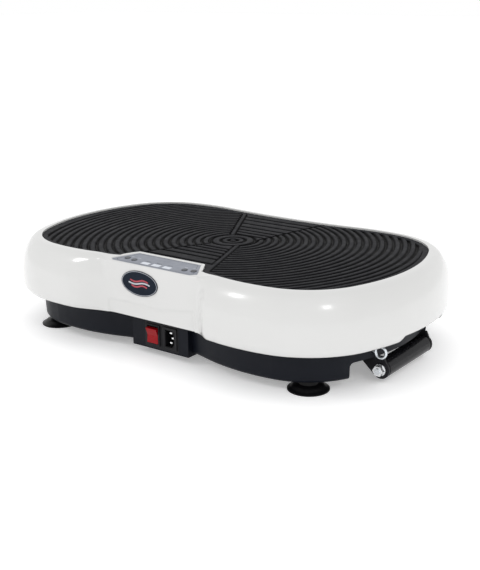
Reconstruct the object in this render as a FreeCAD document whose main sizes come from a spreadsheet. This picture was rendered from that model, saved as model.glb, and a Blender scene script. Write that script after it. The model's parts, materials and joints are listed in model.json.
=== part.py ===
"""Vibration plate: a rocking platform on a base, driven by a motor, belt and crank.

Frame: millimetres, X along the length (+X is the end with the transport roller),
-Y the front with the control panel, +Z up, origin on the floor under the centre.
"""
import FreeCAD, Part
import math
import os
import Sketcher
from FreeCAD import Placement, Rotation, Vector

os.makedirs("parts", exist_ok=True)
doc = FreeCAD.newDocument("vibration_plate")
X_AXIS, Y_AXIS, Z_AXIS = Vector(1, 0, 0), Vector(0, 1, 0), Vector(0, 0, 1)
FRONT, BACK = -1, 1


# ---------------------------------------------------------------- driving sizes
DRIVING = {
    # plan outline of the mat: a chain of tangent arcs, each quarter from the right end
    "half_length": 292, "end_radius": 260, "end_turn": 23.2,
    "corner_radius": 103, "corner_turn": 58.3,
    "lobe_radius": 260, "front_waist_radius": 250, "back_waist_radius": 1000,
    # heights above the floor
    "floor_gap": 14, "mat_bottom": 131, "mat_top": 135,
    "rim_top": 137, "pivot_height": 74, "tray_top": 70, "step_bottom": 36.5,
    # platform
    "shell_wall": 3, "rim_width": 4, "frame_bottom": 108, "tube": 15, "wide_tube": 25,
    "tube_wall": 1.5, "deck_board": 5, "deck_inset": 12,
    "block_half": 80, "block_front": 176, "panel_back": 131, "panel_tilt": 4,
    "panel_thickness": 2.5, "button_radius": 4.2,
    "badge_half_width": 32, "badge_half_height": 17.5, "badge_thickness": 1.2,
    # base
    "tray_wall": 3, "step_x": 236, "rail_y": 70, "frame_half": 230,
    "power_half": 50, "power_front": 158,
    "foot_x": 225, "foot_y": 131, "foot_radius": 27.5, "stud_radius": 4,
    # pivots, crank and motor
    "pivot_y": 100, "pivot_radius": 6, "running_gap": 0.05,
    "crank_x": -110, "crank_height": 58, "crank_radius": 7, "crank_throw": 2.5,
    "rod_y": 66, "rod_length": 30, "rod_pin_radius": 4, "open_gap": 5.6,
    "crank_pulley_radius": 36, "motor_pulley_radius": 14, "belt_y": -30,
    "belt_width": 12, "belt_thickness": 3,
    "motor_x": 130, "motor_height": 66, "motor_radius": 32, "motor_length": 100,
    # transport roller and eye bolts
    "roller_x": 290, "roller_height": 18, "roller_radius": 12.5, "roller_half": 58,
    "axle_radius": 4, "arm_thickness": 3, "eye_y": 70, "eye_height": 45,
    "eye_radius": 7.5, "eye_wire": 1.8,
}


class Size(float):
    """A length that remembers the spreadsheet expression it comes from."""

    def __new__(cls, value, text):
        made = float.__new__(cls, value)
        made.text = text
        return made

    @staticmethod
    def written(value):
        return value.text if isinstance(value, Size) else repr(float(value))

    def __add__(self, other):
        return Size(float(self) + float(other), f"({self.text} + {Size.written(other)})")

    def __sub__(self, other):
        return Size(float(self) - float(other), f"({self.text} - {Size.written(other)})")

    def __mul__(self, other):
        return Size(float(self) * float(other), f"({self.text} * {Size.written(other)})")

    def __neg__(self):
        return Size(-float(self), f"(0 - {self.text})")


class Sizes:
    """Reads the spreadsheet, one named size at a time."""

    def __getattr__(self, name):
        return Size(float(sheet.get(name)), f"Sizes.{name}")


sheet = doc.addObject("Spreadsheet::Sheet", "Sizes")
for row, (alias, number) in enumerate(DRIVING.items(), start=1):
    sheet.set(f"A{row}", alias)
    sheet.set(f"B{row}", str(number))
    sheet.setAlias(f"B{row}", alias)
doc.recompute()
s = Sizes()
subparts = []


# ---------------------------------------------------------------- building helpers
def bind(thing, **properties):
    """Sets properties, bound to the spreadsheet where the value comes from it."""
    for name, value in properties.items():
        if isinstance(value, Size):
            thing.setExpression(name, value.text)
        else:
            setattr(thing, name, value)


def aim(axis):
    """The rotation that turns the Z axis to this axis."""
    return Rotation(Z_AXIS, axis)


def keep(thing, label):
    """Marks an object as a finished sub-part."""
    thing.Label = label
    subparts.append(thing)
    return thing


def box(low, size):
    made = doc.addObject("Part::Box", "Box")
    bind(made, Length=size[0], Width=size[1], Height=size[2])
    made.Placement = Placement(Vector(*[float(v) for v in low]), Rotation())
    return made


def rod(radius, length, start, axis=Z_AXIS):
    made = doc.addObject("Part::Cylinder", "Cylinder")
    bind(made, Radius=radius, Height=length)
    made.Placement = Placement(Vector(*[float(v) for v in start]), aim(axis))
    return made


def cone(radius_low, radius_high, length, start, axis=Z_AXIS):
    made = doc.addObject("Part::Cone", "Cone")
    bind(made, Radius1=radius_low, Radius2=radius_high, Height=length)
    made.Placement = Placement(Vector(*[float(v) for v in start]), aim(axis))
    return made


def nut(across_flats, length, start, axis=Z_AXIS):
    made = doc.addObject("Part::Prism", "Hexagon")
    bind(made, Polygon=6, Circumradius=across_flats / math.sqrt(3), Height=length)
    made.Placement = Placement(Vector(*[float(v) for v in start]), aim(axis))
    return made


def fuse(*things):
    made = doc.addObject("Part::MultiFuse", "Fuse")
    made.Shapes = list(things)
    made.Refine = False
    return made


def cut(base, *tools):
    made = doc.addObject("Part::Cut", "Cut")
    made.Base = base
    made.Tool = tools[0] if len(tools) == 1 else fuse(*tools)
    made.Refine = False
    return made


def group(*things):
    """Several separate solids of one kind, kept as one sub-part."""
    made = doc.addObject("Part::Compound", "Group")
    made.Links = list(things)
    return made


def solid(shape):
    """A Part::Feature for a shape that follows the plan outline."""
    made = doc.addObject("Part::Feature", "Solid")
    made.Shape = shape
    made.Placement = Placement()
    return made


def body_of(label, role, points, placement=Placement()):
    """A PartDesign body and its closed polygon sketch, every corner bound to the sheet."""
    body = doc.addObject("PartDesign::Body", label)
    sketch = body.newObject("Sketcher::SketchObject", label + "_sketch")
    plane = [f for f in body.Origin.OriginFeatures if f.Role == role][0]
    sketch.AttachmentSupport = (plane, [""])
    sketch.MapMode = "FlatFace"
    corners = [Vector(float(u), float(v), 0) for u, v in points]
    for index, corner in enumerate(corners):
        sketch.addGeometry(Part.LineSegment(corner, corners[(index + 1) % len(corners)]), False)
    for index in range(len(corners)):
        following = (index + 1) % len(corners)
        sketch.addConstraint(Sketcher.Constraint("Coincident", index, 2, following, 1))
    for index, (u, v) in enumerate(points):
        for kind, value, axis in (("DistanceX", u, -2), ("DistanceY", v, -1)):
            if abs(float(value)) < 1e-9:
                sketch.addConstraint(Sketcher.Constraint("PointOnObject", index, 1, axis))
                continue
            number = sketch.addConstraint(
                Sketcher.Constraint(kind, -1, 1, index, 1, float(value)))
            if isinstance(value, Size):
                sketch.setExpression(f"Constraints[{number}]", value.text)
    body.Placement = placement
    doc.recompute()
    return body, sketch


def turned_body(label, points, start, axis=Z_AXIS):
    """A body of revolution: points are (radius, distance along the axis)."""
    body, sketch = body_of(label, "XZ_Plane", points,
                           Placement(Vector(*[float(v) for v in start]), aim(axis)))
    turned = body.newObject("PartDesign::Revolution", label + "_revolution")
    turned.Profile = sketch
    turned.ReferenceAxis = (sketch, ["V_Axis"])
    turned.Angle = 360
    return body


# ---------------------------------------------------------------- the plan outline
def outline_arcs():
    """Arcs (centre x, centre y, radius, start, end) counter-clockwise from the right end.

    Angles are in degrees about each arc's own centre; a concave arc runs clockwise.
    """
    end_x = s.half_length - s.end_radius
    shift = s.end_radius - s.corner_radius
    turn = math.radians(s.end_turn)
    corner = (end_x + shift * math.cos(turn), shift * math.sin(turn))
    quarter = {}
    total = s.end_turn + s.corner_turn
    lobe_radius = s.lobe_radius
    step = s.corner_radius - lobe_radius
    lobe = (corner[0] + step * math.cos(math.radians(total)),
            corner[1] + step * math.sin(math.radians(total)))
    for side, waist_radius in ((BACK, s.back_waist_radius), (FRONT, s.front_waist_radius)):
        reach = lobe_radius + waist_radius
        waist_y = lobe[1] + math.sqrt(reach ** 2 - lobe[0] ** 2)
        swing = math.degrees(math.atan2(waist_y - lobe[1], -lobe[0]))
        quarter[side] = (waist_y, waist_radius, swing)
    arcs = [(end_x, 0, s.end_radius, -s.end_turn, s.end_turn)]
    waist_y, waist_radius, swing = quarter[BACK]
    arcs += [
        (corner[0], corner[1], s.corner_radius, s.end_turn, total),
        (lobe[0], lobe[1], lobe_radius, total, swing),
        (0, waist_y, -waist_radius, swing - 180, -swing),
        (-lobe[0], lobe[1], lobe_radius, 180 - swing, 180 - total),
        (-corner[0], corner[1], s.corner_radius, 180 - total, 180 - s.end_turn),
        (-end_x, 0, s.end_radius, 180 - s.end_turn, 180 + s.end_turn),
    ]
    waist_y, waist_radius, swing = quarter[FRONT]
    arcs += [
        (-corner[0], -corner[1], s.corner_radius, 180 + s.end_turn, 180 + total),
        (-lobe[0], -lobe[1], lobe_radius, 180 + total, 180 + swing),
        (0, -waist_y, -waist_radius, swing, 180 - swing),
        (lobe[0], -lobe[1], lobe_radius, -swing, -total),
        (corner[0], -corner[1], s.corner_radius, -total, -s.end_turn),
    ]
    return [tuple(float(v) for v in arc) for arc in arcs]


ARCS = outline_arcs()


def on_arc(arc, offset, angle, height):
    """The point at this angle of an arc, moved outwards from the outline by offset."""
    centre_x, centre_y, radius, _, _ = arc
    reach = radius + offset if radius > 0 else -radius - offset
    turn = math.radians(angle)
    return Vector(centre_x + reach * math.cos(turn), centre_y + reach * math.sin(turn), height)


def outline(offset, height):
    """The closed plan outline, moved outwards by offset, at a height."""
    edges = []
    for arc in ARCS:
        points = [on_arc(arc, offset, arc[3] + (arc[4] - arc[3]) * share, height)
                  for share in (0, 0.5, 1)]
        edges.append(Part.Arc(*points).toShape())
    return Part.Wire(edges)


def slab(offset, low, high):
    """The plan outline, filled, between two heights."""
    return Part.Face(outline(offset, low)).extrude(Vector(0, 0, high - low))


def carried_round(profile, core, low, high):
    """A filled solid whose section at every point of the outline is the profile.

    profile is a list of runs in (offset, height), each two points or three for an arc;
    it closes down a straight line at offset core, and a slab fills the middle.
    """
    pieces = [slab(core, low, high)]
    for arc in ARCS:
        edges = []
        for run in profile:
            points = [on_arc(arc, offset, arc[3], height) for offset, height in run]
            made = Part.Arc(*points) if len(points) == 3 else Part.LineSegment(*points)
            edges.append(made.toShape())
        face = Part.Face(Part.Wire(edges))
        centre = Vector(arc[0], arc[1], 0)
        pieces.append(face.revolve(centre, Z_AXIS, arc[4] - arc[3]))
    return pieces[0].multiFuse(pieces[1:]).removeSplitter()


def plan_prism(points, low, high):
    """A straight prism over a polygon in plan."""
    corners = [Vector(float(x), float(y), float(low)) for x, y in points]
    face = Part.Face(Part.makePolygon(corners + corners[:1]))
    return face.extrude(Vector(0, 0, float(high) - float(low)))


def mirrored_plan(half):
    """A polygon in plan from the corners of its right half."""
    return half + [(-x, y) for x, y in reversed(half)]


# ---------------------------------------------------------------- platform: top shell
# The side of the shell is a chain of tangent arcs (radius, turn in degrees) from the rim.
SIDE = ((18, 50), (58, 30), (130, 15), (16, 45))


def side_runs(inset):
    """The shell's side in (offset, height), moved into the wall by inset."""
    offset, height, heading = float(s.rim_width), float(s.rim_top - inset), 0
    runs = []
    for radius, turn in SIDE:
        centre = (offset - (radius - inset) * math.sin(math.radians(heading)),
                  height - (radius - inset) * math.cos(math.radians(heading)))
        points = []
        for share in (0, 0.5, 1):
            angle = math.radians(heading + turn * share)
            points.append((centre[0] + (radius - inset) * math.sin(angle),
                           centre[1] + (radius - inset) * math.cos(angle)))
        runs.append(tuple(points))
        offset, height = points[-1]
        heading += turn
    return runs


def filled_side(inset, core, top, bottom):
    """The shell's filled section: its side, then down to bottom and back at offset core."""
    runs = side_runs(inset)
    first, last = runs[0][0], runs[-1][-1]
    over, under = (first[0], top), (last[0], bottom)
    straight = [((core, top), over), (over, first), (last, under),
                (under, (core, bottom)), ((core, bottom), (core, top))]
    straight = [run for run in straight if math.dist(*run) > 1e-6]
    split = 2 if (over, first) in straight else 1
    return straight[:split] + runs + straight[split:]


CORE = -40
side_foot = side_runs(0)[-1][-1]
rim = float(s.rim_top)
wall = float(s.shell_wall)
half, front = float(s.block_half), float(s.block_front)
inner_top = float(s.mat_bottom) - wall
SPREAD = 22
# The notch in front of the block's flat face, and the same for the cavity behind it.
notch_plan = mirrored_plan([(half, -front), (half + SPREAD, -front - SPREAD)])
cavity_notch = mirrored_plan([(half + wall, -front + wall),
                              (half + SPREAD + wall, -front - SPREAD + wall)])
block_plan = mirrored_plan([(half - 22, -float(s.panel_back) + 3), (half, -front + 12),
                            (half, -front)])
tilt = Placement(Vector(0, -float(s.panel_back), 136.2), Rotation(X_AXIS, float(s.panel_tilt)))

bottom = side_foot[1]
outer = carried_round(filled_side(0, CORE, rim, bottom), CORE, bottom, rim)
outer = outer.cut(plan_prism(notch_plan, 40, 150))
outer = outer.fuse(plan_prism(block_plan, bottom, rim))
cavity = carried_round(filled_side(wall, CORE, inner_top, bottom - 5), CORE, bottom - 5, inner_top)
cavity = cavity.cut(plan_prism(cavity_notch, 40, 150))
block_room = mirrored_plan([(half - 26, -float(s.panel_back) + 3), (half - 4, -front + 12),
                            (half - 4, -front + 5.5)])
cavity = cavity.fuse(plan_prism(block_room, bottom - 5, inner_top - 0.2))

# The control panel's plan, in the panel's own tilted plane (y from its back edge).
panel_depth = float(s.block_front - s.panel_back)
panel_half = mirrored_plan([(half - 25, -1.5), (half - 4.5, -panel_depth + 9),
                            (half - 12, -panel_depth + 2.5)])


def tilted(shape):
    """A shape drawn in the panel's own plane, moved to its place on the block."""
    shape.Placement = tilt
    return shape


lip_top = tilted(Part.makeBox(200, 120, 20, Vector(-100, -100, 1.2)))
lip_top = lip_top.common(plan_prism(block_plan, 100, 160))
pocket = tilted(plan_prism(panel_half, -float(s.panel_thickness), 12))
mat_space = slab(0.3, float(s.mat_bottom), 150).cut(plan_prism(block_plan, 100, 160))
# A shallow recess along the foot of the block's face, higher towards the right.
RECESS_DEPTH, RECESS_LOW, RECESS_HIGH, RECESS_BEND = 2.4, 78, 86, 18
recess_points = [(-half + 4, bottom - 1), (-half + 4, RECESS_LOW), (RECESS_BEND, RECESS_LOW),
                 (half - 4, RECESS_HIGH), (half - 4, bottom - 1)]
recess = Part.Face(Part.makePolygon([Vector(x, -front - 1, z)
                                     for x, z in recess_points + recess_points[:1]]))
recess = recess.extrude(Vector(0, RECESS_DEPTH + 1, 0))
board_bosses = [tilted(Part.makeCylinder(2.5, 7, Vector(x, -25, -9.8))) for x in (-30, 30)]
cavity = cavity.cut(board_bosses)
shell = outer.cut(cavity).cut(mat_space).cut(lip_top).cut(pocket).cut(recess)
# The end cut-out over the transport roller.
END_CUT_HALF, END_CUT_TOP, END_CUT_SLOPE = 46, 67.5, 8
cut_points = [(END_CUT_HALF + END_CUT_SLOPE, bottom - 1), (END_CUT_HALF, END_CUT_TOP)]
end_cut = Part.Face(Part.makePolygon(
    [Vector(250, y, z) for y, z in cut_points]
    + [Vector(250, -y, z) for y, z in reversed(cut_points)]
    + [Vector(250, cut_points[0][0], cut_points[0][1])])).extrude(Vector(120, 0, 0))
keep(solid(shell.cut(end_cut).removeSplitter()), "top_shell")


# ---------------------------------------------------------------- platform: mat and boards
mat_gap = plan_prism(block_plan, 100, 160).makeOffsetShape(0.6, 0.01)
mat = slab(0, float(s.mat_bottom), float(s.mat_top)).cut(mat_gap)
keep(solid(mat.removeSplitter()), "anti_slip_mat")

board_top = inner_top
board = slab(-float(s.deck_inset), board_top - float(s.deck_board), board_top)
panel_room = Part.makeBox(200, 80, 20, Vector(-100, -front - 20, board_top - 12))
keep(solid(board.cut(panel_room)), "deck_board")


def tube(low, size, along):
    """A square steel tube with open ends, as (outside, bore)."""
    inner_low = [float(v) + (-1 if i == along else float(s.tube_wall)) for i, v in enumerate(low)]
    inner_size = [size[i] + 2 if i == along else size[i] - s.tube_wall * 2 for i in range(3)]
    return box(low, size), box(inner_low, inner_size)


def welded(tubes, plates=(), holes=()):
    """Tubes and plates welded into one frame, each tube hollow."""
    outsides = [outside for outside, _ in tubes]
    bores = [bore for _, bore in tubes]
    return cut(fuse(*outsides, *plates), *bores, *holes)


frame_z = s.frame_bottom
top_half = float(s.frame_half)
side_y = float(s.pivot_y)
top_tubes = [tube((-top_half, y - s.tube * 0.5, frame_z), (s.frame_half * 2, s.tube, s.tube), 0)
             for y in (-side_y, side_y)]
cross_length = s.pivot_y * 2 - s.tube
top_tubes += [tube((x - 7.5, -side_y + 7.5, frame_z), (s.tube, cross_length, s.tube), 1)
              for x in (-200, float(s.crank_x), 0, 200)]
HANGER_Y = 92
hangers = [box((-14, y - 2.5, s.pivot_height - 14), (28, 5, s.frame_bottom - s.pivot_height + 14))
           for y in (-HANGER_Y, HANGER_Y)]
hanger_holes = [rod(s.pivot_radius + 2, 20, (0, y - 10, s.pivot_height), Y_AXIS)
                for y in (-HANGER_Y, HANGER_Y)]
pin_height = float(s.crank_height + s.rod_length)
rod_ears = []
ear_holes = []
for side in (FRONT, BACK):
    for inner in (-11, 8):
        y = side * float(s.rod_y) + inner
        rod_ears.append(box((float(s.crank_x) - 7.5, y, pin_height - 7),
                            (s.tube, 3, s.frame_bottom - pin_height + 7)))
        ear_holes.append(rod(s.rod_pin_radius, 5, (s.crank_x, y - 1, pin_height), Y_AXIS))
keep(welded(top_tubes, hangers + rod_ears, hanger_holes + ear_holes), "platform_frame")

bushes = []
for y in (-HANGER_Y, HANGER_Y):
    sleeve = rod(s.pivot_radius + 2, 9, (0, y - 4.5, s.pivot_height), Y_AXIS)
    bore = rod(s.pivot_radius + s.running_gap, 20, (0, y - 10, s.pivot_height), Y_AXIS)
    bushes.append(cut(sleeve, bore))
keep(group(*bushes), "pivot_bushes")

pins = []
for side in (FRONT, BACK):
    start_y = side * float(s.rod_y) - 13
    shank = rod(s.rod_pin_radius, 26, (s.crank_x, start_y, pin_height), Y_AXIS)
    head = rod(6, 2, (s.crank_x, start_y, pin_height), Y_AXIS)
    pins.append(fuse(shank, head))
keep(group(*pins), "rod_pins")

screws = []
for x in (-170, -60, 60, 170):
    for y in (-side_y, side_y):
        shank = rod(3, 6, (x, y, frame_z + s.tube - s.tube_wall * 2))
        head = rod(5, 1.5, (x, y, frame_z + s.tube - 4.5))
        screws.append(fuse(shank, head))
keep(group(*screws), "deck_screws")


# ---------------------------------------------------------------- platform: control panel
WINDOWS_X = (-18, 1, 20)
BUTTONS = {"power_button": (-56, -25), "mode_button": (-42, -27),
           "slower_button": (47, -27), "faster_button": (61, -25)}
WINDOW_Y = -31
window_size = (14, 8)
thin = float(s.panel_thickness)


def in_panel(shape):
    """A sub-part drawn in the panel's own plane."""
    made = doc.addObject("Part::Feature", "Solid")
    made.Shape = shape
    made.Placement = tilt
    return made


panel = plan_prism([(x * 0.994, y * 0.99 - 0.3) for x, y in panel_half], -thin, 0)
for x in WINDOWS_X:
    panel = panel.cut(Part.makeBox(*window_size, 10, Vector(x - 7, WINDOW_Y - 4, -1.2)))
for x, y in BUTTONS.values():
    panel = panel.cut(Part.makeCylinder(float(s.button_radius) + 0.3, 10, Vector(x, y, -1.8)))
keep(in_panel(panel), "control_panel")
lenses = [Part.makeBox(window_size[0] - 0.2, window_size[1] - 0.2, 1.1,
                       Vector(x - 6.9, WINDOW_Y - 3.9, -1.2)) for x in WINDOWS_X]
keep(in_panel(Part.makeCompound(lenses)), "display_windows")
for label, (x, y) in BUTTONS.items():
    cap = Part.makeCylinder(float(s.button_radius), 1.6, Vector(x, y, -0.9))
    rims = [edge for edge in cap.Edges if edge.BoundBox.ZMin > 0.6]
    keep(in_panel(cap.makeFillet(0.4, rims)), label)
board_low = Part.makeBox(128, 24, 1.6, Vector(-64, -37, -11.4))
switches = [Part.makeCylinder(3, 2, Vector(x, y, -9.8)) for x, y in BUTTONS.values()]
keep(in_panel(board_low.multiFuse(switches).removeSplitter()), "control_board")

badge_x, badge_z = -17, 109
badge = Part.Ellipse(Vector(badge_x, -front, badge_z), float(s.badge_half_width),
                     float(s.badge_half_height))
badge.Axis = -Y_AXIS
badge_face = Part.Face(Part.Wire([badge.toShape()]))
keep(solid(badge_face.extrude(Vector(0, -float(s.badge_thickness), 0))), "front_badge")


# ---------------------------------------------------------------- base: tray
def tray_section(inset, low, corner):
    """The tray's filled section: floor, rounded lower corner and nearly upright side."""
    top = float(s.tray_top) + (1 if inset else 0)
    bend = corner * (1 - math.sqrt(0.5))
    return [((CORE, low), (-corner + 1 - inset, low)),
            ((-corner + 1 - inset, low), (1 - inset - bend, low + bend), (1 - inset, low + corner)),
            ((1 - inset, low + corner), (3 - inset, top)),
            ((3 - inset, top), (CORE, top)),
            ((CORE, top), (CORE, low))]


floor = float(s.floor_gap)
skin = float(s.tray_wall)
tray_top = float(s.tray_top)
tray_outer = carried_round(tray_section(0, floor, 6), CORE, floor, tray_top)
tray_inner = carried_round(tray_section(skin, floor + skin, 4), CORE, floor + skin, tray_top + 1)
step_x, step_low = float(s.step_x), float(s.step_bottom)
# The lower half of the tray is left out at the end, over the roller: the plan of that room
# runs out through the tray's side at both corners.
STEP_HALF, SIDE_X, SIDE_Y = 66, 268.5, 105
step_plan = [(340, -150), (340, 150), (306, 127.6), (SIDE_X, SIDE_Y), (step_x, STEP_HALF),
             (step_x, -STEP_HALF), (SIDE_X, -SIDE_Y), (306, -127.6)]
end_step = plan_prism(step_plan, floor - 5, step_low)
step_edges = [e for e in end_step.Edges
              if abs(e.BoundBox.ZMin - step_low) < 1e-6 and abs(e.BoundBox.XMin - SIDE_X) < 1e-6
              and e.BoundBox.XMax < 307]
end_step = end_step.makeFillet(6, step_edges)
room_plan = [(340, -160), (340, 160), (SIDE_X - 2, SIDE_Y + 4), (step_x - skin, STEP_HALF + 1.5),
             (step_x - skin, -STEP_HALF - 1.5), (SIDE_X - 2, -SIDE_Y - 4)]
step_room = plan_prism(room_plan, floor - 5, step_low + skin)
power_half, power_front = float(s.power_half), float(s.power_front)
power_low = floor - 3
block_out = Part.makeBox(2 * power_half, 40, tray_top - 8 - power_low,
                         Vector(-power_half, -power_front, power_low))
block_in = Part.makeBox(2 * power_half - 2 * skin, 36, tray_top - 8 - power_low - 2 * skin,
                        Vector(-power_half + skin, -power_front + skin, power_low + skin))
SWITCH_X, SWITCH_Z, SOCKET_X, SOCKET_Z = -12, 32, 18.5, 32
POWER_PLATE = (60, 38)
plate_low = SWITCH_Z - POWER_PLATE[1] / 2
plate_seat = Part.makeBox(POWER_PLATE[0] + 0.4, 1.7, POWER_PLATE[1] + 0.4,
                          Vector(-27.2, -power_front - 0.2, plate_low - 0.2))
plate_hole = Part.makeBox(54, 10, 34, Vector(-24, -power_front - 1, SWITCH_Z - 17))
tray = tray_outer.fuse(block_out).cut(tray_inner.cut(step_room)).cut(block_in)
tray = tray.cut(end_step).cut(plate_seat).cut(plate_hole)
for x in (-float(s.foot_x), float(s.foot_x)):
    for y in (-float(s.foot_y), float(s.foot_y)):
        tray = tray.cut(Part.makeCylinder(float(s.stud_radius) + 0.3, 20, Vector(x, y, 5)))
eye_x = 284.2
EYE_STAND_OFF = 0.6
for low_x in (270, -300):
    bore_start = Vector(low_x, -float(s.eye_y), float(s.eye_height))
    tray = tray.cut(Part.makeCylinder(3.2, 30, bore_start, X_AXIS))
SCREW_X = (-140, 140)
for x in SCREW_X:
    for y in (-float(s.rail_y), float(s.rail_y)):
        tray = tray.cut(Part.makeCylinder(3.1, 20, Vector(x, y, 5)))
bracket_screw_x = step_x + 14
for y in (-30, 30):
    tray = tray.cut(Part.makeCylinder(2.6, 30, Vector(bracket_screw_x, y, step_low - 20)))
keep(solid(tray.removeSplitter()), "base_tray")


# ---------------------------------------------------------------- base: steel frame
rail_y, rail_z = float(s.rail_y), floor + skin
rails = [tube((-top_half, y - s.wide_tube * 0.5, rail_z), (s.frame_half * 2, s.wide_tube, s.tube), 0)
         for y in (-rail_y, rail_y)]
rail_span = s.rail_y * 2 - s.wide_tube
rails += [tube((x - 12.5, -rail_y + 12.5, rail_z), (s.wide_tube, rail_span, s.tube), 1)
          for x in (-200, 200)]
posts = []
for side in (FRONT, BACK):
    post_y = side * side_y - 3
    posts.append(box((-22, post_y, rail_z), (44, 6, s.pivot_height - rail_z + 14)))
    arm_low = min(side * (rail_y + 12.5), side * side_y)
    posts.append(box((-22, arm_low, rail_z), (44, side_y - rail_y - 12.5, 6)))
post_holes = [rod(s.pivot_radius, 20, (0, side * side_y - 10, s.pivot_height), Y_AXIS)
              for side in (FRONT, BACK)]
keep(welded(rails, posts, post_holes), "base_frame")

pivots = []
for side in (FRONT, BACK):
    inner_y = side * (HANGER_Y - 6)
    length = side_y + 9 - HANGER_Y + 6
    shank = rod(s.pivot_radius, length, (0, inner_y, s.pivot_height), Y_AXIS * side)
    head = nut(18, 6, (0, side * (side_y + 3), s.pivot_height), Y_AXIS * side)
    pivots.append(fuse(shank, head))
keep(group(*pivots), "pivot_pins")

stands, buffers = [], []
for x in (-200, 200):
    for side in (FRONT, BACK):
        at = (x, side * rail_y)
        stands.append(rod(12, 48, (*at, rail_z + s.tube)))
        rubber = fuse(rod(15, 14, (*at, rail_z + 63)), cone(15, 9, 7, (*at, rail_z + 77)))
        buffers.append(rubber)
keep(group(*stands), "buffer_stands")
keep(group(*buffers), "rubber_buffers")

frame_screws = []
for x in SCREW_X:
    for side in (FRONT, BACK):
        at = (x, side * rail_y)
        frame_screws.append(fuse(rod(3, 9, (*at, floor - 2)), rod(6, 2, (*at, floor - 2))))
keep(group(*frame_screws), "base_screws")


# ---------------------------------------------------------------- base: feet
def suction_foot(label, x, y):
    """A rubber suction cup: a thin flared skirt, a dome and a neck, hollow below."""
    edge = s.foot_radius
    points = [(4.2, 5), (9, 5), (17, 4), (23, 1.6), (edge - 2, 0), (edge, 0), (edge, 1.6),
              (edge - 4, 3.6), (20, 6.6), (13, 8.6), (12, s.floor_gap), (4.2, s.floor_gap)]
    return keep(turned_body(label, points, (x, y, 0)), label)


studs = []
for end, x in (("left", -float(s.foot_x)), ("right", float(s.foot_x))):
    for side, y in (("front", -float(s.foot_y)), ("rear", float(s.foot_y))):
        suction_foot(f"suction_foot_{side}_{end}", x, y)
        shank = rod(s.stud_radius, 18, (x, y, 6))
        locknut = nut(13, 6, (x, y, rail_z))
        studs.append(fuse(shank, locknut))
keep(group(*studs), "foot_studs")


# ---------------------------------------------------------------- base: power inlet
plate_y = -power_front
plate = Part.makeBox(POWER_PLATE[0], 1.5, POWER_PLATE[1], Vector(-27, plate_y, plate_low))
switch_gap = Part.makeBox(22.4, 10, 28.4, Vector(SWITCH_X - 11.2, plate_y - 5, SWITCH_Z - 14.2))
socket_gap = Part.makeBox(20.4, 10, 27.4, Vector(SOCKET_X - 10.2, plate_y - 5, SOCKET_Z - 13.7))
keep(solid(plate.cut(switch_gap).cut(socket_gap)), "power_plate")

case = Part.makeBox(22, 20, 28, Vector(SWITCH_X - 11, plate_y, SWITCH_Z - 14))
lip = Part.makeBox(24, 1.6, 30, Vector(SWITCH_X - 12, plate_y - 1.6, SWITCH_Z - 15))
rocker_room = Part.makeBox(19.4, 12, 25.4, Vector(SWITCH_X - 9.7, plate_y - 2, SWITCH_Z - 12.7))
keep(solid(case.fuse(lip).cut(rocker_room).removeSplitter()), "switch_housing")

ROCKER_AXIS = Vector(SWITCH_X, plate_y + 5, SWITCH_Z)
ROCKER_TIP, ROCKER_WIDE, ROCKER_LEAN = 11.2, 18.8, 8
rocker_half = [(-6.6, 0), (-9, ROCKER_TIP), (-3, ROCKER_TIP), (3, 4)]
rocker_points = rocker_half + [(y, -z) for y, z in reversed(rocker_half[1:])]
rocker_wire = Part.makePolygon([ROCKER_AXIS + Vector(-ROCKER_WIDE / 2, y, z)
                                for y, z in rocker_points + rocker_points[:1]])
rocker = Part.Face(rocker_wire).extrude(Vector(ROCKER_WIDE, 0, 0))
rocker = rocker.rotated(ROCKER_AXIS, X_AXIS, ROCKER_LEAN)
rocker = rocker.makeFillet(0.8, [e for e in rocker.Edges if e.BoundBox.YMax < plate_y - 1.8])
keep(solid(rocker), "rocker_button")

shroud = Part.makeBox(20, 22, 27, Vector(SOCKET_X - 10, plate_y, SOCKET_Z - 13.5))
flange = Part.makeBox(24, 1.6, 31, Vector(SOCKET_X - 12, plate_y - 1.6, SOCKET_Z - 15.5))
mouth_points = [(-7.5, -12), (4.5, -12), (7.5, -8), (7.5, 8), (4.5, 12), (-7.5, 12)]
mouth = Part.Face(Part.makePolygon([Vector(SOCKET_X + x, plate_y - 3, SOCKET_Z + z)
                                    for x, z in mouth_points + mouth_points[:1]]))
keep(solid(shroud.fuse(flange).cut(mouth.extrude(Vector(0, 18, 0))).removeSplitter()),
     "power_socket")
blades = [Part.makeBox(4, 16, 2, Vector(SOCKET_X + x - 2, plate_y + 3, SOCKET_Z + z - 1))
          for x, z in ((-1, -7), (2.5, 0), (-1, 7))]
keep(solid(Part.makeCompound(blades)), "socket_pins")

controller = box((-135, -128, rail_z), (80, 42, 30))
keep(controller, "motor_controller")


# ---------------------------------------------------------------- base: motor and belt
motor_y = -8.0
motor_at = (s.motor_x, motor_y, s.motor_height)
can = rod(s.motor_radius, s.motor_length, motor_at, Y_AXIS)
nose = rod(14, 4, (s.motor_x, motor_y - 4, s.motor_height), Y_AXIS)
shaft_bore = rod(5.05, 94, (s.motor_x, motor_y - 10, s.motor_height), Y_AXIS)
keep(cut(fuse(can, nose), shaft_bore), "motor_housing")

saddle = box((float(s.motor_x) - 36, motor_y + 20, rail_z), (72, 60, s.motor_height - rail_z))
saddle_room = rod(s.motor_radius + 0.3, 120, (s.motor_x, motor_y - 10, s.motor_height), Y_AXIS)
rail_room = box((60, rail_y - 13, rail_z - 1), (200, 26, s.tube + 1.3))
keep(cut(saddle, saddle_room, rail_room), "motor_saddle")

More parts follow.
